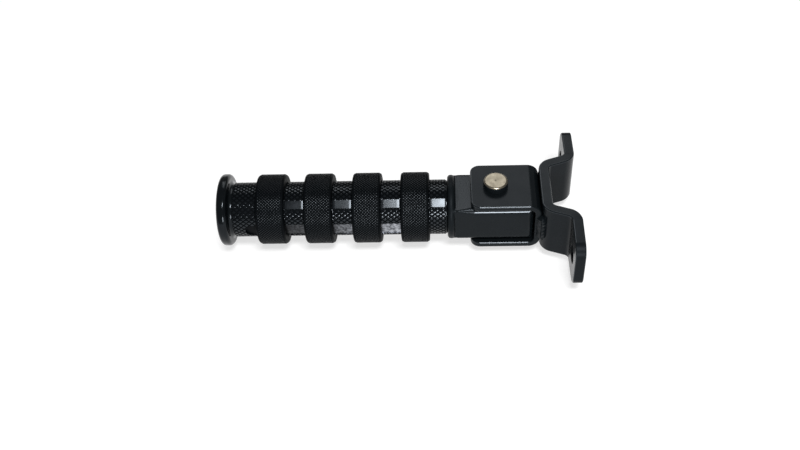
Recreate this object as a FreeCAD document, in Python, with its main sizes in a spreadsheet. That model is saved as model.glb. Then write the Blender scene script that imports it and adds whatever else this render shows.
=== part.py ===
import FreeCAD, Part
import math
import os
import re

import Sketcher
from FreeCAD import Vector

# Folding passenger footrest. Lengths in millimetres, angles in degrees.
# Frame: the origin is midway between the two bolt holes on the mounting face, +X points into the
# motorbike, the grip reaches out along -X, +Z is up along the pivot pin, +Y is where the grip folds to.

SIZES = {
    # Pivot pin, upright, its axis this far out from the mounting face
    "pin_offset": 34.8,
    "pin_diameter": 8.0,
    "pin_head_diameter": 10.4,
    "pin_head_height": 3.2,
    "pin_head_round": 0.9,
    "pin_dot_diameter": 1.6,
    "pin_dot_depth": 0.3,
    "pin_tip_chamfer": 0.8,
    "pin_tip_length": 1.9,
    "pin_bore_clearance": 0.08,
    "ear_hole_clearance": 0.05,
    # Clevis, one sheet folded to a U
    "clevis_sheet": 2.6,
    "clevis_width": 25.6,
    "clevis_bend": 2.4,
    "ear_reach": 10.6,
    "ear_corner": 4.0,
    "sheet_edge_chamfer": 0.4,
    # Mounting plate, a thicker strip bent to a hat
    "plate_depth": 16.0,
    "plate_sheet": 4.4,
    "plate_stand_proud": 0.1,
    "tab_taper": 1.3,
    "plate_web_half": 14.4,
    "plate_splay": 20.0,
    "plate_bend": 2.0,
    "tab_reach": 37.0,
    "tab_corner": 5.0,
    "plate_edge_chamfer": 0.5,
    "bolt_spacing": 56.0,
    "bolt_hole_diameter": 8.5,
    # Welds between the clevis and the plate
    "weld_diameter": 4.2,
    "weld_length": 13.0,
    # Tongue and collar of the pivot block
    "tongue_width": 23.6,
    "tongue_height": 18.4,
    "tongue_round": 3.0,
    "tongue_straight": 9.0,
    "tongue_front_round": 3.0,
    "tongue_side_clearance": 0.4,
    "tongue_stop_clearance": 0.3,
    "neck_width": 22.0,
    "neck_height": 16.6,
    "collar_offset": 18.9,
    "collar_width": 3.1,
    "collar_diameter": 27.5,
    "collar_round": 1.35,
    # Grip bar, turned, with a round-edged flange at its outer end and a milled keyway
    "bar_length": 97.8,
    "bar_diameter": 23.6,
    "bar_end_chamfer": 0.5,
    "flange_diameter": 31.2,
    "flange_width": 4.4,
    "flange_edge_round": 1.6,
    "flare_round": 1.5,
    "keyway_width": 7.2,
    "keyway_depth": 1.0,
    "keyway_turn": 9.0,
    "keyway_run_out": 5.4,
    # Rubber rings, each in a square groove turned in the bar
    "ring_diameter": 30.3,
    "ring_width": 12.1,
    "ring_first": 13.75,
    "ring_pitch": 20.5,
    "ring_edge_chamfer": 0.5,
    "ring_groove_depth": 0.7,
    "ring_clearance": 0.05,
    # Bolt that holds the bar on the pivot block, sunk in the outer end
    "bolt_diameter": 8.0,
    "bolt_length": 100.0,
    "bolt_head_diameter": 13.0,
    "bolt_head_height": 8.0,
    "bolt_head_chamfer": 0.6,
    "bolt_head_sunk": 1.0,
    "bolt_socket_flats": 6.0,
    "bolt_socket_depth": 4.0,
    "bolt_bore_clearance": 0.2,
    "bolt_thread_clearance": 0.05,
    "bolt_thread_spare": 2.0,
    "counterbore_clearance": 0.3,
    "lock_washer_diameter": 12.6,
    "lock_washer_thickness": 2.0,
    "lock_washer_split": 1.2,
    # Washer and split pin under the lower ear
    "washer_diameter": 16.0,
    "washer_thickness": 1.5,
    "washer_clearance": 0.2,
    "split_pin_diameter": 2.0,
    "split_pin_clearance": 0.1,
    "split_pin_drop": 0.3,
    "split_pin_stand_off": 0.6,
    "split_pin_eye": 3.6,
    "split_pin_wire": 1.3,
    "split_pin_bend": 3.0,
    "split_pin_spread": 75.0,
    # Detent: a sprung ball in the tongue and two dimples in the upper ear
    "ball_diameter": 4.0,
    "ball_setback": 7.3,
    "ball_stand": 0.1,
    "ball_travel": 0.6,
    "ball_bore_clearance": 0.1,
    "dimple_clearance": 0.3,
    "dimple_angle": 120.0,
    "ball_bore_depth": 11.0,
    "spring_diameter": 3.6,
    "spring_wire": 0.7,
    "spring_turns": 4.0,
    "spring_seat_clearance": 0.05,
}
RING_COUNT = 4
FULL_TURN = 360
QUARTER_TURN = 90
# Flats that stand for a small round on a turned edge
ROUND_STEPS = 3
FLARE_STEPS = 4
WIRE_SIDES = 6
# Tools reach this far past what they cut
CUT_MARGIN = 5.0
SAME_PLACE = 1e-4
SHARP_ANGLE = 0.3

doc = FreeCAD.newDocument("passenger_footrest")
sheet = doc.addObject("Spreadsheet::Sheet", "Sizes")
for row, (alias, value) in enumerate(SIZES.items(), start=1):
    sheet.set(f"A{row}", alias)
    sheet.set(f"B{row}", str(value))
    sheet.setAlias(f"B{row}", alias)
doc.recompute()


def bound(expression):
    """The expression with each size's name pointing at its cell."""
    return re.sub(r"[a-z_]+", lambda word: f"Sizes.{word[0]}" if word[0] in SIZES else word[0], expression)


def size(expression):
    """The value that an expression over the sizes has now."""
    return float(sheet.evalExpression(expression))


# Bodies, sketches and features

def new_body(label, at_pin=True):
    """A body whose own origin is on the pin's axis, or else at the mounting face."""
    body = doc.addObject("PartDesign::Body", label)
    body.Label = label
    if at_pin:
        body.setExpression("Placement.Base.x", bound("-pin_offset"))
    return body


def new_sketch(body, name, plane, lift="0"):
    """A sketch on one of the body's own planes, lifted along the plane's normal."""
    sketch = body.newObject("Sketcher::SketchObject", name)
    support = next(item for item in body.Origin.OriginFeatures if item.Role == plane)
    sketch.AttachmentSupport = [(support, "")]
    sketch.MapMode = "FlatFace"
    sketch.setExpression("AttachmentOffset.Base.z", bound(lift))
    return sketch


def turned_about(axis, angle):
    """A placement at the origin, turned by one of the sizes."""
    return FreeCAD.Placement(Vector(), FreeCAD.Rotation(axis, size(angle)))


def constrain(sketch, expression, kind, *where):
    """A driving dimension tied to the sheet."""
    index = sketch.addConstraint(Sketcher.Constraint(kind, *where, size(expression)))
    sketch.setExpression(f"Constraints[{index}]", bound(expression))


def pin_point(sketch, geometry, point, x, y):
    """Fixes one point of a sketch by its two distances from the origin."""
    constrain(sketch, x, "DistanceX", -1, 1, geometry, point)
    constrain(sketch, y, "DistanceY", -1, 1, geometry, point)


def add_polygon(sketch, *corners):
    first = sketch.GeometryCount
    points = [Vector(size(x), size(y), 0) for x, y in corners]
    count = len(points)
    for i in range(count):
        sketch.addGeometry(Part.LineSegment(points[i], points[(i + 1) % count]))
    for i in range(count):
        sketch.addConstraint(Sketcher.Constraint("Coincident", first + i, 2, first + (i + 1) % count, 1))
    for i, (x, y) in enumerate(corners):
        pin_point(sketch, first + i, 1, x, y)


def round_over(x, y, radius, start, end, steps=ROUND_STEPS):
    """Corners of a small round about a centre, from one angle to another, for a turned profile."""
    angles = [start + (end - start) * i / steps for i in range(steps + 1)]
    return [(f"{x} + {radius} * cos({a})", f"{y} + {radius} * sin({a})") for a in angles]


def add_circle(sketch, radius, x="0", y="0"):
    centre = Vector(size(x), size(y), 0)
    circle = sketch.addGeometry(Part.Circle(centre, Vector(0, 0, 1), size(radius)))
    pin_point(sketch, circle, 3, x, y)
    constrain(sketch, radius, "Radius", circle)


def add_arc(sketch, radius, start, end, x="0", y="0"):
    """An arc about a fixed centre, from one angle to another, and its number in the sketch."""
    circle = Part.Circle(Vector(size(x), size(y), 0), Vector(0, 0, 1), size(radius))
    arc = sketch.addGeometry(Part.ArcOfCircle(circle, math.radians(start), math.radians(end)))
    pin_point(sketch, arc, 3, x, y)
    constrain(sketch, radius, "Radius", arc)
    return arc


def add_rounded_rectangle(sketch, width, height, radius):
    """A rectangle about the origin with four round corners."""
    half_width = f"({width}) / 2"
    half_height = f"({height}) / 2"
    corners = []
    for quarter, (side, level) in enumerate(((1, 1), (-1, 1), (-1, -1), (1, -1))):
        x = f"{side} * ({half_width} - {radius})"
        y = f"{level} * ({half_height} - {radius})"
        corners.append(add_arc(sketch, radius, 90 * quarter, 90 * quarter + 90, x, y))
    for i, arc in enumerate(corners):
        following = corners[(i + 1) % 4]
        curve = sketch.Geometry[arc]
        other = sketch.Geometry[following]
        line = sketch.addGeometry(Part.LineSegment(curve.EndPoint, other.StartPoint))
        sketch.addConstraint(Sketcher.Constraint("Tangent", arc, 2, line, 1))
        sketch.addConstraint(Sketcher.Constraint("Tangent", line, 2, following, 1))


def add_corner_cut(sketch, x, y, radius, level):
    """What lies outside a round at the corner x, y of a profile, above the axis or, at -1, below it."""
    start, end = (0, 90) if level > 0 else (270, 360)
    centre_y = f"{level} * ({y} - {radius})"
    arc = add_arc(sketch, radius, start, end, f"{x} - {radius}", centre_y)
    outer = f"({x} + {CUT_MARGIN})"
    above = f"{level} * ({y} + {CUT_MARGIN})"
    corners = [
        (x, centre_y),
        (outer, centre_y),
        (outer, above),
        (f"{x} - {radius}", above),
        (f"{x} - {radius}", f"{level} * {y}"),
    ]
    points = [Vector(size(px), size(py), 0) for px, py in corners]
    lines = [sketch.addGeometry(Part.LineSegment(a, b)) for a, b in zip(points, points[1:])]
    for first, second in zip(lines, lines[1:]):
        sketch.addConstraint(Sketcher.Constraint("Coincident", first, 2, second, 1))
    near, far = (1, 2) if level > 0 else (2, 1)
    sketch.addConstraint(Sketcher.Constraint("Coincident", lines[0], 1, arc, near))
    sketch.addConstraint(Sketcher.Constraint("Coincident", lines[-1], 2, arc, far))
    for line, (px, py) in zip(lines, corners[1:-1]):
        pin_point(sketch, line, 2, px, py)
    sketch.addConstraint(Sketcher.Constraint("Horizontal", lines[0]))
    sketch.addConstraint(Sketcher.Constraint("Vertical", lines[-1]))


def extrude(body, kind, sketch, length, other_way="0", reverse=False):
    """A pad or pocket of a sketch, one way or both ways along its normal."""
    feature = body.newObject(f"PartDesign::{kind}", f"{sketch.Name}_{kind.lower()}")
    feature.Profile = sketch
    feature.Reversed = reverse
    feature.setExpression("Length", bound(length))
    if other_way != "0":
        feature.SideType = "Two sides"
        feature.setExpression("Length2", bound(other_way))
    return feature


def drill(body, sketch, reach):
    """A cut right through, by the same reach on both sides of the sketch."""
    return extrude(body, "Pocket", sketch, reach, reach)


def revolve(body, sketch, axis):
    """A full turn of a half profile about one of the sketch's own axes."""
    turned = body.newObject("PartDesign::Revolution", f"{sketch.Name}_turned")
    turned.Profile = sketch
    turned.ReferenceAxis = (sketch, [axis])
    turned.Angle = FULL_TURN
    return turned


def round_edges(body, radius, choose, kind="Fillet"):
    """Rounds or chamfers the edges of the body that the test picks."""
    doc.recompute()
    base = body.Tip
    names = [f"Edge{i}" for i, edge in enumerate(base.Shape.Edges, start=1) if choose(edge)]
    feature = body.newObject(f"PartDesign::{kind}", f"{base.Name}_edges")
    feature.Base = (base, names)
    feature.setExpression("Radius" if kind == "Fillet" else "Size", bound(radius))
    doc.recompute()
    return feature


def edge_at(x=None, y=None, z=None):
    """A test for edges whose ends, and middle, all have the coordinates given."""
    wanted = [None if value is None else size(value) for value in (x, y, z)]

    def test(edge):
        middle = edge.valueAt((edge.FirstParameter + edge.LastParameter) / 2)
        points = [vertex.Point for vertex in edge.Vertexes] + [middle]
        return all(
            value is None or abs(point[i] - value) < SAME_PLACE
            for point in points
            for i, value in enumerate(wanted)
        )

    return test


def any_of(*tests):
    return lambda edge: any(test(edge) for test in tests)


def sharp_edge_of(shape):
    """A test for the edges of a shape where two faces meet at a real angle."""

    def test(edge):
        point = edge.valueAt((edge.FirstParameter + edge.LastParameter) / 2)
        faces = shape.ancestorsOfType(edge, Part.Face)
        if len(faces) != 2:
            return False
        first, second = (face.normalAt(*face.Surface.parameter(point)) for face in faces)
        return first.getAngle(second) > SHARP_ANGLE

    return test


# Heights and places that several pieces share, measured from the pin's axis
ear_inside = "(tongue_height / 2 + tongue_side_clearance)"
ear_outside = f"({ear_inside} + clevis_sheet)"
web_outside = "(pin_offset - plate_depth)"
web_inside = f"({web_outside} - clevis_sheet)"
tongue_end = f"({web_inside} - tongue_stop_clearance)"
ball_reach = f"({tongue_end} - ball_setback)"
plate_edge = f"({ear_outside} + plate_stand_proud)"
tab_edge = f"({plate_edge} - tab_taper)"
collar_inner = "(collar_offset - collar_width / 2)"
collar_outer = "(collar_offset + collar_width / 2)"
bar_end = f"({collar_outer} + bar_length)"
pin_radius = "(pin_diameter / 2)"
ball_height = "(tongue_height / 2 + ball_stand - ball_diameter / 2)"
washer_under = f"({ear_outside} + washer_thickness)"
split_pin_height = f"({washer_under} + split_pin_drop + split_pin_diameter / 2)"
pin_tip = f"({split_pin_height} + split_pin_diameter / 2 + pin_tip_length)"
counterbore_floor = f"({bar_end} - bolt_head_sunk - bolt_head_height - lock_washer_thickness)"
bolt_seat = f"({counterbore_floor} + lock_washer_thickness)"


# Clevis: a U-section pad, its bends rounded inside and out, ears with round corners, then the pin's
# holes and the two dimples that the detent ball drops into, out and folded

def make_clevis_channel():
    body = new_body("clevis_channel")
    side = new_sketch(body, "clevis_side", "XZ_Plane")
    add_polygon(
        side,
        ("-ear_reach", ear_outside),
        (web_outside, ear_outside),
        (web_outside, f"-{ear_outside}"),
        ("-ear_reach", f"-{ear_outside}"),
        ("-ear_reach", f"-{ear_inside}"),
        (web_inside, f"-{ear_inside}"),
        (web_inside, ear_inside),
        ("-ear_reach", ear_inside),
    )
    extrude(body, "Pad", side, "clevis_width / 2", "clevis_width / 2")
    inner_bends = any_of(
        edge_at(web_inside, None, ear_inside),
        edge_at(web_inside, None, f"-{ear_inside}"),
    )
    round_edges(body, "clevis_bend", inner_bends)
    outer_bends = any_of(
        edge_at(web_outside, None, ear_outside),
        edge_at(web_outside, None, f"-{ear_outside}"),
    )
    round_edges(body, "clevis_bend + clevis_sheet", outer_bends)
    corners = any_of(edge_at("-ear_reach", "clevis_width / 2"), edge_at("-ear_reach", "-clevis_width / 2"))
    round_edges(body, "ear_corner", corners)
    round_edges(body, "sheet_edge_chamfer", sharp_edge_of(body.Tip.Shape), "Chamfer")
    hole = new_sketch(body, "clevis_hole", "XY_Plane")
    add_circle(hole, f"{pin_radius} + ear_hole_clearance")
    drill(body, hole, f"{ear_outside} + {CUT_MARGIN}")
    apex = f"({ball_height} + ball_travel + (ball_diameter / 2 + dimple_clearance) / sin(dimple_angle / 2))"
    drop = f"(2 * ({apex} - {ear_inside}))"
    for name, x, y in (("dimple_out", ball_reach, "0"), ("dimple_folded", "0", f"-{ball_reach}")):
        dimple = body.newObject("PartDesign::SubtractiveCone", name)
        dimple.setExpression("Radius1", bound(f"{drop} * tan(dimple_angle / 2)"))
        dimple.Radius2 = 0
        dimple.setExpression("Height", bound(drop))
        dimple.setExpression("Placement.Base.x", bound(x))
        dimple.setExpression("Placement.Base.y", bound(y))
        dimple.setExpression("Placement.Base.z", bound(f"{apex} - {drop}"))
    return body


# Mounting plate: the strip's section in plan, padded to its height, bent at four lines, narrowed
# towards the tabs' ends, with a bolt hole in each tab

def make_mounting_plate():
    body = new_body("mounting_plate", at_pin=False)
    rise = "((plate_depth - plate_sheet) * tan(plate_splay))"
    inset = "(plate_sheet * (1 - sin(plate_splay)) / cos(plate_splay))"
    leg_start = "plate_web_half"
    leg_end = f"(plate_web_half + {rise})"
    inner_start = f"(plate_web_half - {inset})"
    inner_end = f"({inner_start} + {rise})"
    web_back = "(plate_depth - plate_sheet)"
    plan = new_sketch(body, "plate_plan", "XY_Plane")
    add_polygon(
        plan,
        ("-plate_sheet", "tab_reach"),
        ("-plate_sheet", leg_end),
        ("-plate_depth", leg_start),
        ("-plate_depth", f"-{leg_start}"),
        ("-plate_sheet", f"-{leg_end}"),
        ("-plate_sheet", "-tab_reach"),
        ("0", "-tab_reach"),
        ("0", f"-{inner_end}"),
        (f"-{web_back}", f"-{inner_start}"),
        (f"-{web_back}", inner_start),
        ("0", inner_end),
        ("0", "tab_reach"),
    )
    extrude(body, "Pad", plan, plate_edge, plate_edge)
    tight = []
    wide = []
    for sign in ("", "-"):
        tight += [edge_at("-plate_sheet", sign + leg_end), edge_at(f"-{web_back}", sign + inner_start)]
        wide += [edge_at("-plate_depth", sign + leg_start), edge_at("0", sign + inner_end)]
    round_edges(body, "plate_bend", any_of(*tight))
    round_edges(body, "plate_bend + plate_sheet", any_of(*wide))
    taper = new_sketch(body, "tab_taper", "YZ_Plane")
    for side in ("", "-"):
        for level in ("", "-"):
            add_polygon(
                taper,
                (side + leg_end, level + plate_edge),
                (f"{side}tab_reach", level + tab_edge),
                (f"{side}tab_reach", level + plate_edge),
            )
    drill(body, taper, f"plate_depth + {CUT_MARGIN}")
    corners = []
    for side in ("", "-"):
        for level in ("", "-"):
            corners.append(edge_at(None, f"{side}tab_reach", level + tab_edge))
    round_edges(body, "tab_corner", any_of(*corners))
    round_edges(body, "plate_edge_chamfer", sharp_edge_of(body.Tip.Shape), "Chamfer")
    holes = new_sketch(body, "bolt_holes", "YZ_Plane")
    for side in ("", "-"):
        add_circle(holes, "bolt_hole_diameter / 2", f"{side}bolt_spacing / 2")
    drill(body, holes, f"plate_depth + {CUT_MARGIN}")
    return body


# Welds: a round bead in each corner between the clevis web's edge and the plate's bend, with what
# the two sheets fill cut away

def make_weld_beads(clevis, plate):
    beads = []
    for name, sign in (("back_bead", ""), ("front_bead", "-")):
        rod = doc.addObject("Part::Cylinder", f"{name}_rod")
        rod.setExpression("Radius", bound("weld_diameter / 2"))
        rod.setExpression("Height", bound("weld_length"))
        rod.setExpression("Placement.Base.x", bound("-plate_depth"))
        rod.setExpression("Placement.Base.y", bound(f"{sign}clevis_width / 2"))
        rod.setExpression("Placement.Base.z", bound("-weld_length / 2"))
        bead = rod
        for sheet_metal in (clevis, plate):
            cut = doc.addObject("Part::Cut", f"{name}_off_{sheet_metal.Name}")
            cut.Base = bead
            cut.Tool = sheet_metal
            bead = cut
        beads.append(bead)
    welds = doc.addObject("Part::Compound", "weld_beads")
    welds.Label = "weld_beads"
    welds.Links = beads
    return welds


# Pivot pin: a turned pin with a flat round head, a lathe centre's dot in it, and a cross hole

def make_pivot_pin():
    body = new_body("pivot_pin")
    half = new_sketch(body, "pin_half", "XZ_Plane")
    head_top = f"({ear_outside} + pin_head_height)"
    rim = "(pin_head_diameter / 2 - pin_head_round)"
    add_polygon(
        half,
        ("0", f"-{pin_tip}"),
        (f"{pin_radius} - pin_tip_chamfer", f"-{pin_tip}"),
        (pin_radius, f"-{pin_tip} + pin_tip_chamfer"),
        (pin_radius, ear_outside),
        ("pin_head_diameter / 2", ear_outside),
        *round_over(rim, f"({head_top} - pin_head_round)", "pin_head_round", 0, 90),
        ("pin_dot_diameter / 2", head_top),
        ("0", f"{head_top} - pin_dot_depth"),
    )
    revolve(body, half, "V_Axis")
    cross = new_sketch(body, "pin_cross_hole", "XZ_Plane")
    add_circle(cross, "split_pin_diameter / 2 + split_pin_clearance", "0", f"-{split_pin_height}")
    drill(body, cross, "pin_diameter")
    return body


# Washer under the lower ear

def make_pin_washer():
    body = new_body("pin_washer")
    ring = new_sketch(body, "washer_ring", "XY_Plane", f"-{washer_under}")
    add_circle(ring, "washer_diameter / 2")
    add_circle(ring, f"{pin_radius} + washer_clearance")
    extrude(body, "Pad", ring, "washer_thickness")
    return body


# Split pin: the round shank of its two legs, the legs bent apart past the pin, and the eye

def add_axis(sketch, x, half_length):
    """A construction line across the sketch that a profile turns about."""
    place = size(x)
    axis = sketch.addGeometry(Part.LineSegment(Vector(place, -1, 0), Vector(place, 1, 0)), True)
    pin_point(sketch, axis, 1, x, f"-{half_length}")
    pin_point(sketch, axis, 2, x, half_length)


def make_split_pin():
    body = new_body("split_pin")
    body.setExpression("Placement.Base.z", bound(f"-{split_pin_height}"))
    reach = f"({pin_radius} + split_pin_stand_off)"
    shank = new_sketch(body, "split_pin_shank", "XZ_Plane")
    add_circle(shank, "split_pin_diameter / 2")
    extrude(body, "Pad", shank, reach, reach)
    doc.recompute()
    leg = new_sketch(body, "split_pin_leg", "XZ_Plane", reach)
    add_polygon(leg, *round_over("0", "0", "split_pin_diameter / 2", -90, 90))
    add_axis(leg, "split_pin_bend", "split_pin_diameter")
    bent = body.newObject("PartDesign::Revolution", "split_pin_bent_leg")
    bent.Profile = leg
    bent.ReferenceAxis = (leg, ["Axis0"])
    bent.setExpression("Angle", bound("split_pin_spread"))
    doc.recompute()
    both = body.newObject("PartDesign::Mirrored", "split_pin_legs")
    both.Originals = [bent]
    both.MirrorPlane = (next(item for item in body.Origin.OriginFeatures if item.Role == "YZ_Plane"), [""])
    body.Tip = both
    doc.recompute()
    loop = new_sketch(body, "split_pin_loop", "YZ_Plane")
    eye_centre = f"({reach} + split_pin_eye / 2)"
    outer = f"({eye_centre} + split_pin_eye / 2)"
    step = FULL_TURN / WIRE_SIDES
    add_polygon(loop, *round_over(outer, "0", "split_pin_wire / 2", 0, FULL_TURN - step, WIRE_SIDES - 1))
    add_axis(loop, eye_centre, "split_pin_wire")
    revolve(body, loop, "Axis0")
    return body


# Pivot block: the round collar, a neck that widens into the tongue, and the tongue's end, square in
# front as the stop and round about the pin at the back, where it turns past the web

def make_pivot_block():
    body = new_body("pivot_block")
    section = new_sketch(body, "tongue_section", "YZ_Plane")
    add_rounded_rectangle(section, "tongue_width", "tongue_height", "tongue_round")
    extrude(body, "Pad", section, tongue_end, "collar_offset")
    sides = ("XY_Plane", "tongue_width", "neck_width"), ("XZ_Plane", "tongue_height", "neck_height")
    for plane, full, narrow in sides:
        shave = new_sketch(body, f"{narrow}_shave", plane)
        for side in ("", "-"):
            add_polygon(
                shave,
                ("-tongue_straight", f"{side}{full} / 2"),
                (f"-{collar_inner}", f"{side}{narrow} / 2"),
                ("-collar_offset", f"{side}{narrow} / 2"),
                ("-collar_offset", f"{side}{full} / 2"),
            )
        drill(body, shave, "tongue_width")
    plan = new_sketch(body, "tongue_plan", "XY_Plane")
    add_corner_cut(plan, tongue_end, tongue_end, tongue_end, 1)
    add_corner_cut(plan, tongue_end, "(tongue_width / 2)", "tongue_front_round", -1)
    drill(body, plan, "tongue_height")
    edge = new_sketch(body, "tongue_end_edges", "XZ_Plane")
    for level in (1, -1):
        add_corner_cut(edge, tongue_end, "(tongue_height / 2)", "clevis_bend", level)
    drill(body, edge, "tongue_width")
    add_swing_chamfers(body)
    collar = new_sketch(body, "collar_half", "XZ_Plane")
    crest = "(collar_diameter / 2 - collar_round)"
    add_polygon(
        collar,
        (f"-{collar_outer}", "0"),
        *round_over(f"(-{collar_outer} + collar_round)", crest, "collar_round", 180, 90),
        *round_over(f"(-{collar_inner} - collar_round)", crest, "collar_round", 90, 0),
        (f"-{collar_inner}", "0"),
    )
    revolve(body, collar, "H_Axis")
    bore = new_sketch(body, "pin_bore", "XY_Plane")
    add_circle(bore, f"{pin_radius} + pin_bore_clearance")
    drill(body, bore, "tongue_height")
    pocket = new_sketch(body, "ball_bore", "XY_Plane", "tongue_height / 2 - ball_bore_depth")
    add_circle(pocket, "ball_diameter / 2 + ball_bore_clearance", ball_reach)
    extrude(body, "Pocket", pocket, "tongue_height", reverse=True)
    thread = new_sketch(body, "bolt_thread", "YZ_Plane", f"-{collar_outer}")
    add_circle(thread, "bolt_diameter / 2 + bolt_thread_clearance")
    depth = f"bolt_length - ({bolt_seat} - {collar_outer}) + bolt_thread_spare"
    extrude(body, "Pocket", thread, depth, reverse=True)
    return body


def add_swing_chamfers(body):
    """Bevels the tongue's round end above and below, so that it clears the clevis's bends as it turns."""
    profile = new_sketch(body, "tongue_swing_edges", "XZ_Plane")
    start = f"({tongue_end} - clevis_bend)"
    outer = f"({tongue_end} + {CUT_MARGIN})"
    for level in ("", "-"):
        bevel_top = f"{level}(tongue_height / 2)"
        bevel_foot = f"{level}(tongue_height / 2 - clevis_bend)"
        above = f"{level}(tongue_height / 2 + {CUT_MARGIN})"
        add_polygon(
            profile,
            (start, bevel_top),
            (start, above),
            (outer, above),
            (outer, bevel_foot),
            (tongue_end, bevel_foot),
        )
    bevel = body.newObject("PartDesign::Groove", "tongue_swing_bevel")
    bevel.Profile = profile
    bevel.ReferenceAxis = (profile, ["V_Axis"])
    bevel.Angle = QUARTER_TURN


# Grip bar: turned with a bore, a counterbore for the bolt's head, a flange on a round flare and a
# groove for each ring, then a keyway milled along its front

def make_grip_bar():
    body = new_body("grip_bar")
    half = new_sketch(body, "bar_half", "XZ_Plane")
    bore = "(bolt_diameter / 2 + bolt_bore_clearance)"
    counterbore = "(bolt_head_diameter / 2 + counterbore_clearance)"
    flange_face = f"({bar_end} - flange_width)"
    flare_x = f"(-{flange_face} + flare_round)"
    flare_y = "(bar_diameter / 2 + flare_round)"
    rim = "(flange_diameter / 2 - flange_edge_round)"
    add_polygon(
        half,
        (f"-{collar_outer}", bore),
        (f"-{collar_outer}", "bar_diameter / 2 - bar_end_chamfer"),
        (f"-{collar_outer} - bar_end_chamfer", "bar_diameter / 2"),
        *ring_grooves(),
        *round_over(flare_x, flare_y, "flare_round", 270, 180, FLARE_STEPS),
        *round_over(f"(-{flange_face} - flange_edge_round)", rim, "flange_edge_round", 0, 90),
        *round_over(f"(-{bar_end} + flange_edge_round)", rim, "flange_edge_round", 90, 180),
        (f"-{bar_end}", counterbore),
        (f"-{counterbore_floor}", counterbore),
        (f"-{counterbore_floor}", bore),
    )
    revolve(body, half, "H_Axis")
    floor = "(bar_diameter / 2 - keyway_depth)"
    slot = new_sketch(body, "keyway", "XZ_Plane")
    slot.setExpression("AttachmentOffset.Base.y", bound(f"-{floor} * sin(keyway_turn)"))
    slot.setExpression("AttachmentOffset.Base.z", bound(f"{floor} * cos(keyway_turn)"))
    slot.AttachmentOffset = turned_about(Vector(1, 0, 0), "keyway_turn")
    slot.setExpression("AttachmentOffset.Rotation.Angle", bound("keyway_turn"))
    add_keyway_outline(slot)
    extrude(body, "Pocket", slot, "bar_diameter", reverse=True)
    return body


def ring_grooves():
    """Corners of the rings' grooves in the bar's half profile, from the inner ring to the outer one."""
    land = "(bar_diameter / 2)"
    half_groove = "(ring_width / 2 + ring_clearance)"
    corners = []
    for number in range(RING_COUNT):
        middle = f"({collar_outer} + ring_first + {number} * ring_pitch)"
        inner = f"(-{middle} + {half_groove})"
        outer = f"(-{middle} - {half_groove})"
        corners += [
            (inner, land),
            (inner, f"{land} - ring_groove_depth"),
            (outer, f"{land} - ring_groove_depth"),
            (outer, land),
        ]
    return corners


def add_keyway_outline(sketch):
    """A slot with round ends, from under the inner ring to just past the outer one."""
    radius = "(keyway_width / 2)"
    last = f"(ring_first + {RING_COUNT - 1} * ring_pitch + ring_width / 2)"
    inner = f"-({collar_outer} + ring_first)"
    outer = f"-({collar_outer} + {last} + keyway_run_out - {radius})"
    inner_arc = add_arc(sketch, radius, -90, 90, inner)
    outer_arc = add_arc(sketch, radius, 90, 270, outer)
    for first, second in ((inner_arc, outer_arc), (outer_arc, inner_arc)):
        start = sketch.Geometry[first].EndPoint
        end = sketch.Geometry[second].StartPoint
        line = sketch.addGeometry(Part.LineSegment(start, end))
        sketch.addConstraint(Sketcher.Constraint("Tangent", first, 2, line, 1))
        sketch.addConstraint(Sketcher.Constraint("Tangent", line, 2, second, 1))


# Rubber rings: square rings with their outer edges taken off, each sprung into its groove

def make_rubber_ring(number):
    body = new_body(f"rubber_ring_{number + 1}")
    from_pin = f"({collar_outer} + ring_first + {number} * ring_pitch)"
    body.setExpression("Placement.Base.x", bound(f"-pin_offset - {from_pin}"))
    half = new_sketch(body, f"ring_half_{number + 1}", "XZ_Plane")
    bore = "(bar_diameter / 2 - ring_groove_depth + ring_clearance)"
    rim = "ring_diameter / 2 - ring_edge_chamfer"
    add_polygon(
        half,
        ("-ring_width / 2", bore),
        ("-ring_width / 2", rim),
        ("-ring_width / 2 + ring_edge_chamfer", "ring_diameter / 2"),
        ("ring_width / 2 - ring_edge_chamfer", "ring_diameter / 2"),
        ("ring_width / 2", rim),
        ("ring_width / 2", bore),
    )
    revolve(body, half, "H_Axis")
    return body


# Grip bolt: a socket-head bolt, and its split lock washer

def make_grip_bolt():
    body = new_body("grip_bolt")
    half = new_sketch(body, "bolt_half", "XZ_Plane")
    head_top = f"({bolt_seat} + bolt_head_height)"
    tip = f"({bolt_seat} - bolt_length)"
    add_polygon(
        half,
        (f"-{head_top}", "0"),
        (f"-{head_top}", "bolt_head_diameter / 2 - bolt_head_chamfer"),
        (f"-{head_top} + bolt_head_chamfer", "bolt_head_diameter / 2"),
        (f"-{bolt_seat}", "bolt_head_diameter / 2"),
        (f"-{bolt_seat}", "bolt_diameter / 2"),
        (f"-{tip} - bolt_head_chamfer", "bolt_diameter / 2"),
        (f"-{tip}", "bolt_diameter / 2 - bolt_head_chamfer"),
        (f"-{tip}", "0"),
    )
    revolve(body, half, "H_Axis")
    socket = new_sketch(body, "bolt_socket", "YZ_Plane", f"-{head_top} + bolt_socket_depth")
    corner = "(bolt_socket_flats / 2 / cos(30))"
    hexagon = [(f"{corner} * cos({60 * i})", f"{corner} * sin({60 * i})") for i in range(6)]
    add_polygon(socket, *hexagon)
    extrude(body, "Pocket", socket, f"bolt_socket_depth + {CUT_MARGIN}")
    return body


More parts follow.
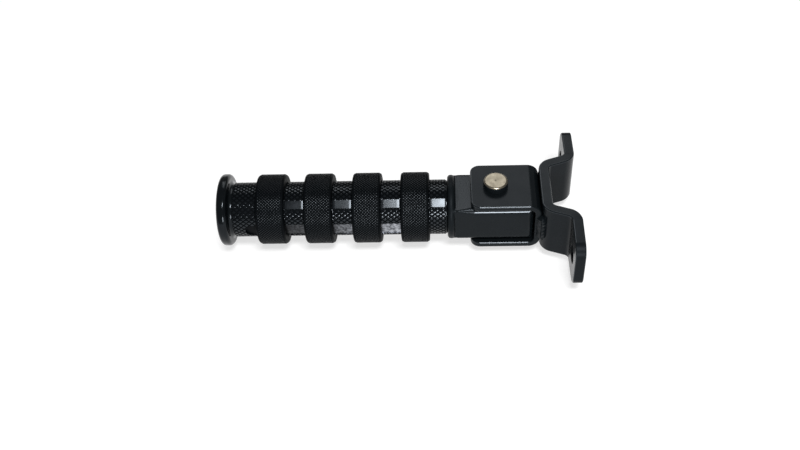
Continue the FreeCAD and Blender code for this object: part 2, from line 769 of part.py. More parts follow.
def make_bolt_washer():
    body = new_body("bolt_washer")
    ring = new_sketch(body, "lock_washer_ring", "YZ_Plane", f"-{bolt_seat}")
    add_circle(ring, "lock_washer_diameter / 2")
    add_circle(ring, "bolt_diameter / 2 + bolt_bore_clearance")
    extrude(body, "Pad", ring, "lock_washer_thickness")
    split = new_sketch(body, "lock_washer_cut", "XZ_Plane")
    add_polygon(
        split,
        (f"-{bolt_seat} - lock_washer_split", "0"),
        (f"-{counterbore_floor} - lock_washer_split", "0"),
        (f"-{counterbore_floor} + lock_washer_split", "lock_washer_diameter"),
        (f"-{bolt_seat} + lock_washer_split", "lock_washer_diameter"),
    )
    drill(body, split, "lock_washer_split / 2")
    return body


# Detent: a ball that stands just clear of the ear, and the coil spring under it

def make_detent_ball():
    ball = doc.addObject("Part::Sphere", "detent_ball")
    ball.Label = "detent_ball"
    ball.setExpression("Radius", bound("ball_diameter / 2"))
    ball.setExpression("Placement.Base.x", bound(f"{ball_reach} - pin_offset"))
    ball.setExpression("Placement.Base.z", bound(ball_height))
    return ball


def make_detent_spring():
    coil_radius = "((spring_diameter - spring_wire) / 2)"
    bottom = "(tongue_height / 2 - ball_bore_depth + spring_wire / 2 + spring_seat_clearance)"
    touch = "(ball_diameter / 2 + spring_wire / 2 + spring_seat_clearance)"
    top = f"({ball_height} - sqrt({touch} * {touch} - {coil_radius} * {coil_radius}))"
    helix = doc.addObject("Part::Helix", "spring_line")
    helix.setExpression("Pitch", bound(f"({top} - {bottom}) / spring_turns"))
    helix.setExpression("Height", bound(f"{top} - {bottom}"))
    helix.setExpression("Radius", bound(coil_radius))
    wire = doc.addObject("Part::RegularPolygon", "spring_section")
    wire.Polygon = WIRE_SIDES
    wire.setExpression("Circumradius", bound("spring_wire / 2"))
    wire.Placement.Rotation = FreeCAD.Rotation(Vector(1, 0, 0), 90)
    wire.setExpression("Placement.Base.x", bound(coil_radius))
    doc.recompute()
    spring = doc.addObject("Part::Sweep", "detent_spring")
    spring.Label = "detent_spring"
    spring.Sections = [wire]
    spring.Spine = (helix, [f"Edge{i + 1}" for i in range(len(helix.Shape.Edges))])
    spring.Solid = True
    spring.Frenet = True
    spring.setExpression("Placement.Base.x", bound(f"{ball_reach} - pin_offset"))
    spring.setExpression("Placement.Base.z", bound(bottom))
    return spring


clevis_channel = make_clevis_channel()
mounting_plate = make_mounting_plate()
sub_parts = [
    clevis_channel,
    mounting_plate,
    make_weld_beads(clevis_channel, mounting_plate),
    make_pivot_pin(),
    make_pin_washer(),
    make_split_pin(),
    make_pivot_block(),
    make_grip_bar(),
    make_grip_bolt(),
    make_bolt_washer(),
    make_detent_ball(),
    make_detent_spring(),
]
sub_parts += [make_rubber_ring(number) for number in range(RING_COUNT)]
doc.recompute()

failed = [item.Label for item in doc.Objects if {"Invalid", "Error"} & set(item.State)]
if failed:
    raise RuntimeError(f"failed objects: {failed}")
for sub_part in sub_parts:
    if sub_part.Shape.isNull() or not sub_part.Shape.isValid():
        raise RuntimeError(f"bad shape: {sub_part.Label}")

os.makedirs("parts", exist_ok=True)
for sub_part in sub_parts:
    sub_part.Shape.exportStep(f"parts/{sub_part.Label}.step")
    print(sub_part.Label, len(sub_part.Shape.Solids), round(sub_part.Shape.Volume, 1))
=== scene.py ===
import math

import bmesh
import bpy
from mathutils import Euler, Matrix, Vector, noise


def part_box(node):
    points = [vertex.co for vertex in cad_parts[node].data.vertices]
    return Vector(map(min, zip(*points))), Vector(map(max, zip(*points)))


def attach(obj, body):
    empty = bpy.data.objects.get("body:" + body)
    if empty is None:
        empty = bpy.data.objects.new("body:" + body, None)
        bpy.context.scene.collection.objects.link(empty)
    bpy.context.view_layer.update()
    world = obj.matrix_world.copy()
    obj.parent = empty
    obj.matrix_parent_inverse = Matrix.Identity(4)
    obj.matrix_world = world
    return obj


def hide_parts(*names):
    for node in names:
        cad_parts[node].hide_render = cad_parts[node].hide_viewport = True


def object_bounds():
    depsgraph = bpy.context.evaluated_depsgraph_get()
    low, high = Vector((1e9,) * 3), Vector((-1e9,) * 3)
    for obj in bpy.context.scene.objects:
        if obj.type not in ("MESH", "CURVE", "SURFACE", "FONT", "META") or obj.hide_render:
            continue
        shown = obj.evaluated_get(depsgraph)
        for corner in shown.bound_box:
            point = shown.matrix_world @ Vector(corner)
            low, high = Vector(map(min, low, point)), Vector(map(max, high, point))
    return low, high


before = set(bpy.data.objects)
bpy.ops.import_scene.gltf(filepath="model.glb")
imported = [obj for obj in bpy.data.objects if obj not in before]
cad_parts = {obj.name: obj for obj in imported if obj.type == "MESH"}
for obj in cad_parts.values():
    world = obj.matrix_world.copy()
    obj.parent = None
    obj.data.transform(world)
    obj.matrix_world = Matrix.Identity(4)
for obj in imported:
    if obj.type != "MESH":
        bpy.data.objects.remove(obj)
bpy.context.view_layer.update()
MM = 0.001


# Clevis: one sheet of steel folded to a U round the footrest's tongue, drilled for the pin, with
# two dimples under its upper ear that the detent ball drops into. It is painted with the plate that
# it is welded to, and the paint has flowed to a gloss on the softly rounded edges of the ears.
clevis_low, clevis_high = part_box("clevis_channel")
washer_low, washer_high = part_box("pin_washer")
washer_radius = 8.0 * MM
pin_x = washer_low.x + washer_radius
clevis_sheet = 2.6 * MM
clevis_bend = 2.4 * MM
ear_corner = 4.0 * MM
paint_round = 0.55 * MM
pin_hole = 4.05 * MM
ball_travel = 0.6 * MM
dimple_clearance = 0.3 * MM
dimple_half_angle = math.radians(60)
soft_edge = math.radians(40)
cut_edge = math.radians(60)
bend_segments = 10
rim_segments = 4
hole_segments = 48
drill_length = 60 * MM
same_line = 1e-9
paint_index = 0
rim_index = 1


def new_piece(name, bm, *materials):
    """An object at the origin from a bmesh, smooth over soft edges and sharp over hard ones."""
    mesh = bpy.data.meshes.new(name)
    bm.to_mesh(mesh)
    bm.free()
    mesh.shade_smooth()
    mesh.set_sharp_from_angle(angle=soft_edge)
    piece = bpy.data.objects.new(name, mesh)
    bpy.context.scene.collection.objects.link(piece)
    for material in materials:
        mesh.materials.append(material)
    return piece


def bake_modifiers(piece):
    """Turns what the piece's modifiers make into its own mesh."""
    graph = bpy.context.evaluated_depsgraph_get()
    mesh = bpy.data.meshes.new_from_object(piece.evaluated_get(graph))
    piece.modifiers.clear()
    piece.data = mesh
    return mesh


def even_normals(piece):
    """Keeps the broad flat faces flat, so that only the rounded edges catch the light."""
    weigh = piece.modifiers.new("even_normals", "WEIGHTED_NORMAL")
    weigh.keep_sharp = True
    bake_modifiers(piece)


def cut_away(piece, cutter, operation="DIFFERENCE"):
    """Cuts a second solid out of a piece, or joins it on, and clears the second one away."""
    boolean = piece.modifiers.new("cut", "BOOLEAN")
    boolean.operation = operation
    boolean.solver = "MANIFOLD"
    boolean.object = cutter
    bake_modifiers(piece)
    bpy.data.objects.remove(cutter)


def drill_holes(piece, radius, turn, centres):
    """Drills round holes of one size right through a piece."""
    bm = bmesh.new()
    for centre in centres:
        bmesh.ops.create_cone(
            bm, cap_ends=True, segments=hole_segments, radius1=radius, radius2=radius,
            depth=drill_length, matrix=Matrix.Translation(centre) @ turn,
        )
    cut_away(piece, new_piece("drill", bm, bracket_paint))


def folded_sheet(bm, corners, across, thickness, bends, corner_round, end_scale, towards):
    """A strip through the fold corners, widened along one axis, bent, its ends rounded, and made
    thick on the side that its middle shows towards the given direction."""
    strip = [bm.verts.new(corner - across) for corner in corners]
    edges = [bm.edges.new(pair) for pair in zip(strip, strip[1:])]
    wide = bmesh.ops.extrude_edge_only(bm, edges=edges)["geom"]
    far = [item for item in wide if isinstance(item, bmesh.types.BMVert)]
    bmesh.ops.translate(bm, verts=far, vec=2 * across)
    ends = [v for v in bm.verts if len(v.link_edges) == 2]
    for vert in ends:
        middle = across * (vert.co.dot(across) / across.length_squared)
        vert.co += middle * (end_scale - 1)
    for corner, offset in zip(corners[1:], bends):
        fold = [
            e for e in bm.edges
            if len(e.link_faces) == 2
            and all((v.co - corner).cross(across).length < same_line for v in e.verts)
        ]
        bmesh.ops.bevel(
            bm, geom=fold, offset=offset, offset_type="OFFSET", affect="EDGES",
            segments=bend_segments, profile=0.5, material=-1,
        )
    ends = [v for v in bm.verts if len(v.link_edges) == 2]
    bmesh.ops.bevel(
        bm, geom=ends, offset=corner_round, offset_type="OFFSET", affect="VERTICES",
        segments=bend_segments, profile=0.5, material=-1,
    )
    bmesh.ops.recalc_face_normals(bm, faces=bm.faces)
    middle = (corners[len(corners) // 2 - 1] + corners[len(corners) // 2]) / 2
    web = min(bm.faces, key=lambda face: (face.calc_center_median() - middle).length)
    if web.normal.dot(towards) > 0:
        bmesh.ops.reverse_faces(bm, faces=bm.faces)
    bmesh.ops.solidify(bm, geom=bm.faces[:], thickness=thickness)
    bmesh.ops.recalc_face_normals(bm, faces=bm.faces)


def round_rims(bm, radius):
    """Rounds the cut edges of a sheet, where the paint has flowed to a smoother gloss."""
    rims = [e for e in bm.edges if e.is_manifold and e.calc_face_angle() > cut_edge]
    rounded = bmesh.ops.bevel(
        bm, geom=rims, offset=radius, offset_type="OFFSET", affect="EDGES", segments=rim_segments,
        profile=0.5, material=-1,
    )
    for face in rounded["faces"]:
        face.material_index = rim_index


def grain_group():
    """The unevenness that every finish here has: a fine mask and a blotch mask, sized in mm."""
    group = bpy.data.node_groups.new("surface_grain", "ShaderNodeTree")
    sockets = group.interface
    for name, value in (("Fine Size", 1.0), ("Blotch Size", 20.0)):
        sockets.new_socket(name, in_out="INPUT", socket_type="NodeSocketFloat").default_value = value
    for name in ("Fine", "Blotch"):
        sockets.new_socket(name, in_out="OUTPUT", socket_type="NodeSocketFloat")
    nodes = group.nodes
    inside = nodes.new("NodeGroupInput")
    outside = nodes.new("NodeGroupOutput")
    place = nodes.new("ShaderNodeTexCoord")
    for size, name, detail in (("Fine Size", "Fine", 3.0), ("Blotch Size", "Blotch", 4.0)):
        per_metre = nodes.new("ShaderNodeMath")
        per_metre.operation = "DIVIDE"
        per_metre.inputs[0].default_value = 1 / MM
        group.links.new(inside.outputs[size], per_metre.inputs[1])
        cloud = nodes.new("ShaderNodeTexNoise")
        cloud.inputs["Detail"].default_value = detail
        group.links.new(place.outputs["Object"], cloud.inputs["Vector"])
        group.links.new(per_metre.outputs[0], cloud.inputs["Scale"])
        group.links.new(cloud.outputs["Fac"], outside.inputs[name])
    return group


surface_grain = grain_group()
blotch_low = 0.3
blotch_high = 0.7


def finish(name, colour, varied, roughness, spread, fine_size, blotch_size, bump):
    """A material whose colour, roughness and surface vary a little, as a real finish does."""
    material = bpy.data.materials.new(name)
    material.use_nodes = True
    nodes = material.node_tree.nodes
    links = material.node_tree.links
    shader = nodes["Principled BSDF"]
    grain = nodes.new("ShaderNodeGroup")
    grain.name = "grain"
    grain.node_tree = surface_grain
    grain.inputs["Fine Size"].default_value = fine_size
    grain.inputs["Blotch Size"].default_value = blotch_size
    tint = nodes.new("ShaderNodeMix")
    tint.name = "tint"
    tint.data_type = "RGBA"
    tint.inputs["A"].default_value = (*colour, 1)
    tint.inputs["B"].default_value = (*varied, 1)
    links.new(grain.outputs["Blotch"], tint.inputs["Factor"])
    links.new(tint.outputs["Result"], shader.inputs["Base Color"])
    rough = nodes.new("ShaderNodeMapRange")
    rough.inputs["From Min"].default_value = blotch_low
    rough.inputs["From Max"].default_value = blotch_high
    rough.inputs["To Min"].default_value = roughness - spread
    rough.inputs["To Max"].default_value = roughness + spread
    links.new(grain.outputs["Blotch"], rough.inputs["Value"])
    links.new(rough.outputs["Result"], shader.inputs["Roughness"])
    relief = nodes.new("ShaderNodeBump")
    relief.inputs["Strength"].default_value = 1.0
    relief.inputs["Distance"].default_value = bump
    links.new(grain.outputs["Fine"], relief.inputs["Height"])
    links.new(relief.outputs["Normal"], shader.inputs["Normal"])
    return material


cool_tint = (0.82, 0.91, 1.0, 1)


def black_finish(name, dark, pale, sheen, **surface):
    """A black finish that mirrors by the given amount, with a cool tint to its reflections."""
    material = finish(name, dark, pale, **surface)
    shader = material.node_tree.nodes["Principled BSDF"]
    shader.inputs["Specular IOR Level"].default_value = sheen
    shader.inputs["Specular Tint"].default_value = cool_tint
    return material


paint_dark = (0.0030, 0.0042, 0.0052)
paint_pale = (0.0052, 0.0068, 0.0080)
paint_grain = {"fine_size": 1.2, "blotch_size": 7.0, "bump": 0.0016 * MM}
rim_grain = {"fine_size": 1.4, "blotch_size": 7.0, "bump": 0.016 * MM}
bracket_paint = black_finish(
    "black_paint", paint_dark, paint_pale, sheen=0.12, roughness=0.25, spread=0.05, **paint_grain
)
rim_paint = black_finish(
    "rim_paint", paint_dark, paint_pale, sheen=0.5, roughness=0.09, spread=0.03, **rim_grain
)
ear_inside = clevis_high.z - clevis_sheet
web_inside = clevis_high.x - clevis_sheet
bm = bmesh.new()
folded_sheet(
    bm,
    corners=[
        Vector((clevis_low.x, 0, ear_inside)),
        Vector((web_inside, 0, ear_inside)),
        Vector((web_inside, 0, -ear_inside)),
        Vector((clevis_low.x, 0, -ear_inside)),
    ],
    across=Vector((0, clevis_high.y, 0)),
    thickness=clevis_sheet,
    bends=(clevis_bend, clevis_bend),
    corner_round=ear_corner,
    end_scale=1.0,
    towards=Vector((1, 0, 0)),
)
round_rims(bm, paint_round)
for face in bm.faces:
    if face.calc_center_median().x > web_inside - clevis_bend:
        face.material_index = paint_index
clevis = new_piece("painted_clevis", bm, bracket_paint, rim_paint)
drill_holes(clevis, pin_hole, Matrix(), [Vector((pin_x, 0, 0))])

ball_low, ball_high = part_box("detent_ball")
ball_radius = (ball_high.x - ball_low.x) / 2
ball_x = ball_low.x + ball_radius
raised_ball = ball_high.z - ball_radius + ball_travel
dimple_top = raised_ball + (ball_radius + dimple_clearance) / math.sin(dimple_half_angle)
dimple_depth = 2 * (dimple_top - ear_inside)
bm = bmesh.new()
for x, y in ((ball_x, 0), (pin_x, pin_x - ball_x)):
    bmesh.ops.create_cone(
        bm, cap_ends=True, segments=hole_segments, radius1=dimple_depth * math.tan(dimple_half_angle),
        radius2=0, depth=dimple_depth, matrix=Matrix.Translation((x, y, dimple_top - dimple_depth / 2)),
    )
cut_away(clevis, new_piece("dimples", bm, bracket_paint))
even_normals(clevis)
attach(clevis, "bracket")
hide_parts("clevis_channel")


# Mounting plate: a thicker strip of steel bent to a hat, whose two tabs bolt to the motorbike's
# frame. It narrows a little towards the round ends of the tabs, and has the clevis's black paint,
# gone matt round the edges of the tabs.
plate_low, plate_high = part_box("mounting_plate")
plate_sheet = 4.4 * MM
plate_bend = 2.0 * MM
leg_splay = math.radians(20)
web_half = 14.4 * MM
tab_taper = 1.3 * MM
tab_corner = 5.0 * MM
bolt_hole = 4.25 * MM
bolt_half_spacing = 28.0 * MM
tab_edge_limit = 0.5
tab_edge_index = 2

leg_depth = -plate_low.x - plate_sheet
inner_half = web_half - plate_sheet * (1 - math.sin(leg_splay)) / math.cos(leg_splay)
foot_half = inner_half + leg_depth * math.tan(leg_splay)
fold_reach = math.tan((math.pi / 2 - leg_splay) / 2)
inner_bend = plate_bend * fold_reach
outer_bend = (plate_bend + plate_sheet) * fold_reach
bm = bmesh.new()
folded_sheet(
    bm,
    corners=[
        Vector((0, plate_high.y, 0)),
        Vector((0, foot_half, 0)),
        Vector((-leg_depth, inner_half, 0)),
        Vector((-leg_depth, -inner_half, 0)),
        Vector((0, -foot_half, 0)),
        Vector((0, plate_low.y, 0)),
    ],
    across=Vector((0, 0, plate_high.z)),
    thickness=plate_sheet,
    bends=(outer_bend, inner_bend, inner_bend, outer_bend),
    corner_round=tab_corner,
    end_scale=1 - tab_taper / plate_high.z,
    towards=Vector((-1, 0, 0)),
)
round_rims(bm, paint_round)
matt_paint = black_finish(
    "matt_paint", paint_dark, paint_pale, sheen=0.08, roughness=0.45, spread=0.05, **paint_grain
)
plate = new_piece("painted_plate", bm, bracket_paint, rim_paint, matt_paint)
bolt_centres = [Vector((0, bolt_half_spacing, 0)), Vector((0, -bolt_half_spacing, 0))]
drill_holes(plate, bolt_hole, Matrix.Rotation(math.pi / 2, 4, "Y"), bolt_centres)
even_normals(plate)
for face in plate.data.polygons:
    if abs(face.center.y) > bolt_half_spacing and abs(face.normal.x) < tab_edge_limit:
        face.material_index = tab_edge_index
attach(plate, "bracket")
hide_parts("mounting_plate")


# Weld beads: two runs of weld metal in the corners between the clevis and the plate, laid as a
# row of overlapping ripples, and painted over.
weld_radius = 2.1 * MM
weld_flatness = 0.8
weld_fill = 1.2
weld_end_fullness = 1.4
wander_pitch = 4.0 * MM
wander_height = 0.2 * MM
wander_shift = 7
ripple_lag = 0.35 * MM
weld_half = 6.5 * MM
ripple_pitch = 2.1 * MM
ripple_height = 0.09 * MM
weld_rings = 80
weld_steps = 32
weld_merge = 0.002 * MM
weld_seed = 3

noise.seed_set(weld_seed)
bm = bmesh.new()
for side in (-1, 1):
    run = [bm.verts.new((0, 0, -weld_half))]
    for i in range(1, weld_rings):
        z = -weld_half + 2 * weld_half * i / weld_rings
        swell = math.sqrt(min(1.0, (weld_half - abs(z)) / weld_radius * weld_end_fullness))
        ripple = ripple_height * abs(math.sin(math.pi * z / ripple_pitch))
        run.append(bm.verts.new(((weld_radius + ripple - ripple_height) * swell, 0, z)))
    run.append(bm.verts.new((0, 0, weld_half)))
    edges = [bm.edges.new(pair) for pair in zip(run, run[1:])]
    bmesh.ops.spin(
        bm, geom=run + edges, cent=(0, 0, 0), axis=(0, 0, 1), angle=math.tau, steps=weld_steps,
        use_merge=True,
    )
    bead = [v for v in bm.verts if not v.tag]
    for vert in bead:
        shift = Vector((0, side * wander_shift, 0))
        wander = wander_height * noise.noise_vector(vert.co / wander_pitch + shift)
        lag = ripple_lag * (vert.co.y / weld_radius) ** 2
        if vert.co.x < 0:
            slant = (abs(vert.co.x) + abs(vert.co.y)) / vert.co.xy.length
            vert.co.xy /= slant**weld_flatness
        else:
            vert.co.xy *= weld_fill
        vert.co += wander + Vector((0, 0, lag))
        vert.co += Vector((plate_low.x, side * clevis_high.y, 0))
        vert.tag = True
bmesh.ops.remove_doubles(bm, verts=bm.verts, dist=weld_merge)
bmesh.ops.recalc_face_normals(bm, faces=bm.faces)
welds = new_piece("painted_welds", bm, bracket_paint)
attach(welds, "bracket")
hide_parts("weld_beads")


# Pivot pin: a turned steel pin with a flat head and a round rim, zinc plated with a warm tint, and
# drilled across near its tip for the split pin. The bracket's paint covers the head's side but not
# its flat top, where the lathe's centre left a dot.
pin_low, pin_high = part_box("pivot_pin")
split_low, split_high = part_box("split_pin")
split_z = (split_low.z + split_high.z) / 2
pin_radius = 4.0 * MM
head_radius = (pin_high.x - pin_low.x) / 2
head_under = clevis_high.z
head_rim = 1.0 * MM
head_chamfer = 0.2 * MM
tip_chamfer = 0.8 * MM
dot_radius = 0.55 * MM
dot_floor_radius = 0.22 * MM
dot_depth = 0.25 * MM
split_hole = 1.1 * MM
painted_above = head_under - 0.1 * MM
painted_below = pin_high.z - head_rim / 2
head_paint_index = 1
merge_distance = 0.001 * MM


def turned(bm, points, centre, axis, steps=72):
    """A full turn of a profile that starts and ends on the axis, or that closes on itself."""
    first = [bm.verts.new(point) for point in points]
    edges = [bm.edges.new(pair) for pair in zip(first, first[1:])]
    bmesh.ops.spin(
        bm, geom=first + edges, cent=centre, axis=axis, angle=math.tau, steps=steps, use_merge=True
    )
    bmesh.ops.remove_doubles(bm, verts=bm.verts, dist=merge_distance)
    bmesh.ops.recalc_face_normals(bm, faces=bm.faces)


def arc(centre, radius, start, end, steps=8):
    """Points along a round of a profile, as (along the axis, out from it)."""
    for i in range(steps + 1):
        angle = math.radians(start + (end - start) * i / steps)
        yield centre[0] + radius * math.cos(angle), centre[1] + radius * math.sin(angle)


zinc = finish(
    "zinc_plate", (0.26, 0.235, 0.185), (0.21, 0.185, 0.14), roughness=0.30, spread=0.07,
    fine_size=0.35, blotch_size=2.2, bump=0.004 * MM,
)
zinc.node_tree.nodes["Principled BSDF"].inputs["Metallic"].default_value = 1.0
outline = [
    (pin_low.z, 0),
    (pin_low.z, pin_radius - tip_chamfer),
    (pin_low.z + tip_chamfer, pin_radius),
    (head_under, pin_radius),
    (head_under, head_radius - head_chamfer),
    (head_under + head_chamfer, head_radius),
    *arc((pin_high.z - head_rim, head_radius - head_rim), head_rim, 90, 0),
    (pin_high.z, dot_radius),
    (pin_high.z - dot_depth, dot_floor_radius),
    (pin_high.z - dot_depth, 0),
]
bm = bmesh.new()
turned(bm, [Vector((pin_x + out, 0, z)) for z, out in outline], (pin_x, 0, 0), (0, 0, 1))
for face in bm.faces:
    if painted_above < face.calc_center_median().z < painted_below:
        face.material_index = head_paint_index
pin = new_piece("plated_pin", bm, zinc, bracket_paint)
drill_holes(pin, split_hole, Matrix.Rotation(math.pi / 2, 4, "X"), [Vector((pin_x, 0, split_z))])
even_normals(pin)
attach(pin, "bracket")
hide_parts("pivot_pin")


# Washer and split pin: they hold the pivot pin from below. The washer is stamped and plated; the
# split pin is plated wire bent to an eye, with its two legs spread in front of the pin.
washer_rim = (washer_high.x - washer_low.x) / 2
washer_round = 0.25 * MM
washer_bore = 4.2 * MM
wire_radius = 0.48 * MM
wire_roundness = 4
wire_smoothness = 8
leg_gap = 0.5 * MM
leg_flare = 1.3 * MM
leg_spread = 2.2 * MM
leg_tip = split_low.y + wire_radius
flare_start = -5.2 * MM
flare_middle = -6.3 * MM
straight_half = 3.0 * MM
eye_start = 4.6 * MM
eye_end = split_high.y - wire_radius
eye_low = (1.62 * MM, eye_start + 1.0 * MM)
eye_wide = (1.98 * MM, eye_start + 2.4 * MM)
eye_high = (1.26 * MM, eye_end - 0.2 * MM)

bm = bmesh.new()
outline = [
    (washer_low.z, washer_bore),
    (washer_low.z, washer_rim - washer_round),
    (washer_low.z + washer_round, washer_rim),
    (washer_high.z - washer_round, washer_rim),
    (washer_high.z, washer_rim - washer_round),
    (washer_high.z, washer_bore),
    (washer_low.z, washer_bore),
]
turned(bm, [Vector((pin_x + out, 0, z)) for z, out in outline], (pin_x, 0, 0), (0, 0, 1))
washer = new_piece("plated_washer", bm, zinc)
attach(washer, "bracket")
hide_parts("pin_washer")

half_path = [
    (leg_spread, leg_tip),
    (leg_flare, flare_middle),
    (leg_gap, flare_start),
    (leg_gap, -straight_half),
    (leg_gap, straight_half),
    (leg_gap, eye_start),
    eye_low,
    eye_wide,
    eye_high,
]
path = half_path + [(0, eye_end)] + [(-x, y) for x, y in reversed(half_path)]
wire = bpy.data.curves.new("split_pin_wire", "CURVE")
wire.dimensions = "3D"
wire.bevel_depth = wire_radius
wire.bevel_resolution = wire_roundness
wire.resolution_u = wire_smoothness
wire.use_fill_caps = True
line = wire.splines.new("NURBS")
line.points.add(len(path) - 1)
for point, (x, y) in zip(line.points, path):
    point.co = (pin_x + x, y, split_z, 1)
line.order_u = 3
line.use_endpoint_u = True
wire_curve = bpy.data.objects.new("split_pin_curve", wire)
bpy.context.scene.collection.objects.link(wire_curve)
graph = bpy.context.evaluated_depsgraph_get()
wire_mesh = bpy.data.meshes.new_from_object(wire_curve.evaluated_get(graph))
bpy.data.objects.remove(wire_curve)
bm = bmesh.new()
bm.from_mesh(wire_mesh)
bpy.data.meshes.remove(wire_mesh)
bmesh.ops.remove_doubles(bm, verts=bm.verts, dist=merge_distance)
split_pin = new_piece("plated_split_pin", bm, zinc)
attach(split_pin, "bracket")
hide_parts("split_pin")


# Pivot block: a forged block whose tongue sits between the clevis's ears, with a round collar where
# the grip meets it. All its edges are soft. It has the bracket's paint, glossy along the tongue's
# edges, shinier on top of the neck and matt on the collar.
block_voxel = 0.30 * MM
block_smoothing = 0.5
smoothing_rounds = 10
flat_limit = math.cos(math.radians(28))
level_limit = math.cos(math.radians(10))
gloss_start = clevis_low.x + 1.6 * MM
collar_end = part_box("grip_bar")[1].x + 3.1 * MM
neck_index = 2
collar_index = 3

neck_paint = black_finish(
    "neck_paint", paint_dark, paint_pale, sheen=0.3, roughness=0.25, spread=0.05, **paint_grain
)
bm = bmesh.new()
bm.from_mesh(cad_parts["pivot_block"].data)
bmesh.ops.remove_doubles(bm, verts=bm.verts, dist=merge_distance)
block = new_piece("painted_pivot_block", bm, bracket_paint, rim_paint, neck_paint, matt_paint)
skin = block.modifiers.new("skin", "REMESH")
skin.mode = "VOXEL"
skin.voxel_size = block_voxel
soften = block.modifiers.new("soften", "SMOOTH")
soften.factor = block_smoothing
soften.iterations = smoothing_rounds
block_mesh = bake_modifiers(block)
block_mesh.shade_smooth()
for face in block_mesh.polygons:
    if face.center.x > gloss_start and max(map(abs, face.normal)) < flat_limit:
        face.material_index = rim_index
    elif face.center.x < collar_end:
        face.material_index = collar_index
    elif face.center.x < clevis_low.x and face.normal.z > level_limit:
        face.material_index = neck_index
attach(block, "footrest")
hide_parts("pivot_block")


# Grip bar: turned aluminium with a flange at the outer end, cross-knurled along its shaft but for
# one plain strip, with a groove for each ring and a keyway milled along its front. It is glossy
# black, satin at the strip and the flange, and bare in the keyway. The knurl's grooves take a darker
# black that barely reflects, as painted shade.
bar_low, bar_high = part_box("grip_bar")
ring_boxes = [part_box(f"rubber_ring_{number}") for number in range(1, 5)]
shaft_radius = 11.8 * MM
knurl_around = 36
knurl_rows = 37
knurl_margin = 0.5 * MM
knurl_steps = (
    (0.19 * MM, 0),
    (0.08 * MM, 0.24 * MM),
    (0.16 * MM, 0.040 * MM),
    (0.17 * MM, 0.017 * MM),
)
knurl_depth = sum(rise for inset, rise in knurl_steps)
knurl_floor = shaft_radius - knurl_depth
knurl_inner_share = 0.8
seam_merge = 0.01 * MM
groove_insets = 2
diamond_index = 0
core_radius = knurl_floor - 0.08 * MM
bar_chamfer = 0.3 * MM
bar_sides = 124
bar_soft_edge = math.radians(35)
flat_angle = math.radians(1)
flange_width = 4.4 * MM
flange_round = 1.6 * MM
flange_radius = bar_high.z
flange_face = bar_low.x + flange_width
flare_round = 1.5 * MM
bolt_bore = 4.2 * MM
counterbore = 6.8 * MM
counterbore_depth = 11.0 * MM
keyway_width = 7.2 * MM
keyway_depth = 1.0 * MM
keyway_turn = math.radians(9)
keyway_end = ring_boxes[-1][0].x - 5.4 * MM
strip_width = 3.5 * MM
strip_depth = 3.0 * MM
strip_turn = math.radians(36.4)
strip_top = shaft_radius + 0.02 * MM
strip_crown = 1.6 * MM
strip_drop = 0.2 * MM
strip_segments = 8
ring_groove_depth = 0.7 * MM
ring_clearance = 0.05 * MM
groove_floor = shaft_radius - ring_groove_depth
groove_top = shaft_radius + 1.0 * MM

# The tools differ a little in turn and size, so that no wall of one lies in a wall of another
tool_clearance = 0.05 * MM
core_turn = math.radians(0.4)
groove_turn = math.radians(1.1)


def knurled_tube(bm, start, end, radius, around, rows, insets, groove_index):
    """A tube's outside covered in raised diamonds; start and end are along the tube's axis. The
    grooves and the sides of the diamonds, which the first two insets make, take their own finish,
    a darker black that barely reflects, painted in as their shade."""
    sheet = bmesh.ops.create_grid(bm, x_segments=rows, y_segments=around, size=0.5)["verts"]
    for vert in sheet:
        angle = (vert.co.y + 0.5) * math.tau
        along = start + (vert.co.x + 0.5) * (end - start)
        vert.co = (along, radius * math.cos(angle), radius * math.sin(angle))
    bmesh.ops.remove_doubles(bm, verts=sheet, dist=seam_merge)
    straight = [e for e in bm.edges if len(e.link_faces) == 2]
    centres = bmesh.ops.poke(bm, faces=bm.faces)["verts"]
    for vert in centres:
        out = Vector((0, vert.co.y, vert.co.z)).normalized() * radius
        vert.co = Vector((vert.co.x, out.y, out.z))
    bmesh.ops.dissolve_edges(bm, edges=straight, use_verts=False)
    bmesh.ops.recalc_face_normals(bm, faces=bm.faces)
    diamonds = bm.faces[:]
    outward = diamonds[0].normal.dot(diamonds[0].calc_center_median() * Vector((0, 1, 1)))
    if outward < 0:
        bmesh.ops.reverse_faces(bm, faces=diamonds)
    for number, (thickness, depth) in enumerate(insets):
        bordered = bmesh.ops.inset_individual(
            bm, faces=diamonds, thickness=thickness, depth=depth, use_even_offset=True
        )
        if number < groove_insets:
            for face in bordered["faces"]:
                face.material_index = groove_index
    for face in diamonds:
        face.material_index = diamond_index
    return [e for e in bm.edges if e.is_boundary]


def extend_ends(bm, rims, steps, middle):
    """Draws the two open rims of a tube out and in, step by step, and joins them inside."""
    for out, scale in steps:
        drawn = bmesh.ops.extrude_edge_only(bm, edges=rims)["geom"]
        rims = [item for item in drawn if isinstance(item, bmesh.types.BMEdge)]
        for vert in (item for item in drawn if isinstance(item, bmesh.types.BMVert)):
            side = 1 if vert.co.x > middle else -1
            vert.co = Vector((vert.co.x + side * out, vert.co.y * scale, vert.co.z * scale))
    bmesh.ops.bridge_loops(bm, edges=rims)
    bmesh.ops.recalc_face_normals(bm, faces=bm.faces)


def turn_tool(bm, angle):
    """Turns a tool for the bar about the bar's own axis."""
    bmesh.ops.rotate(bm, verts=bm.verts, matrix=Matrix.Rotation(angle, 3, "X"))


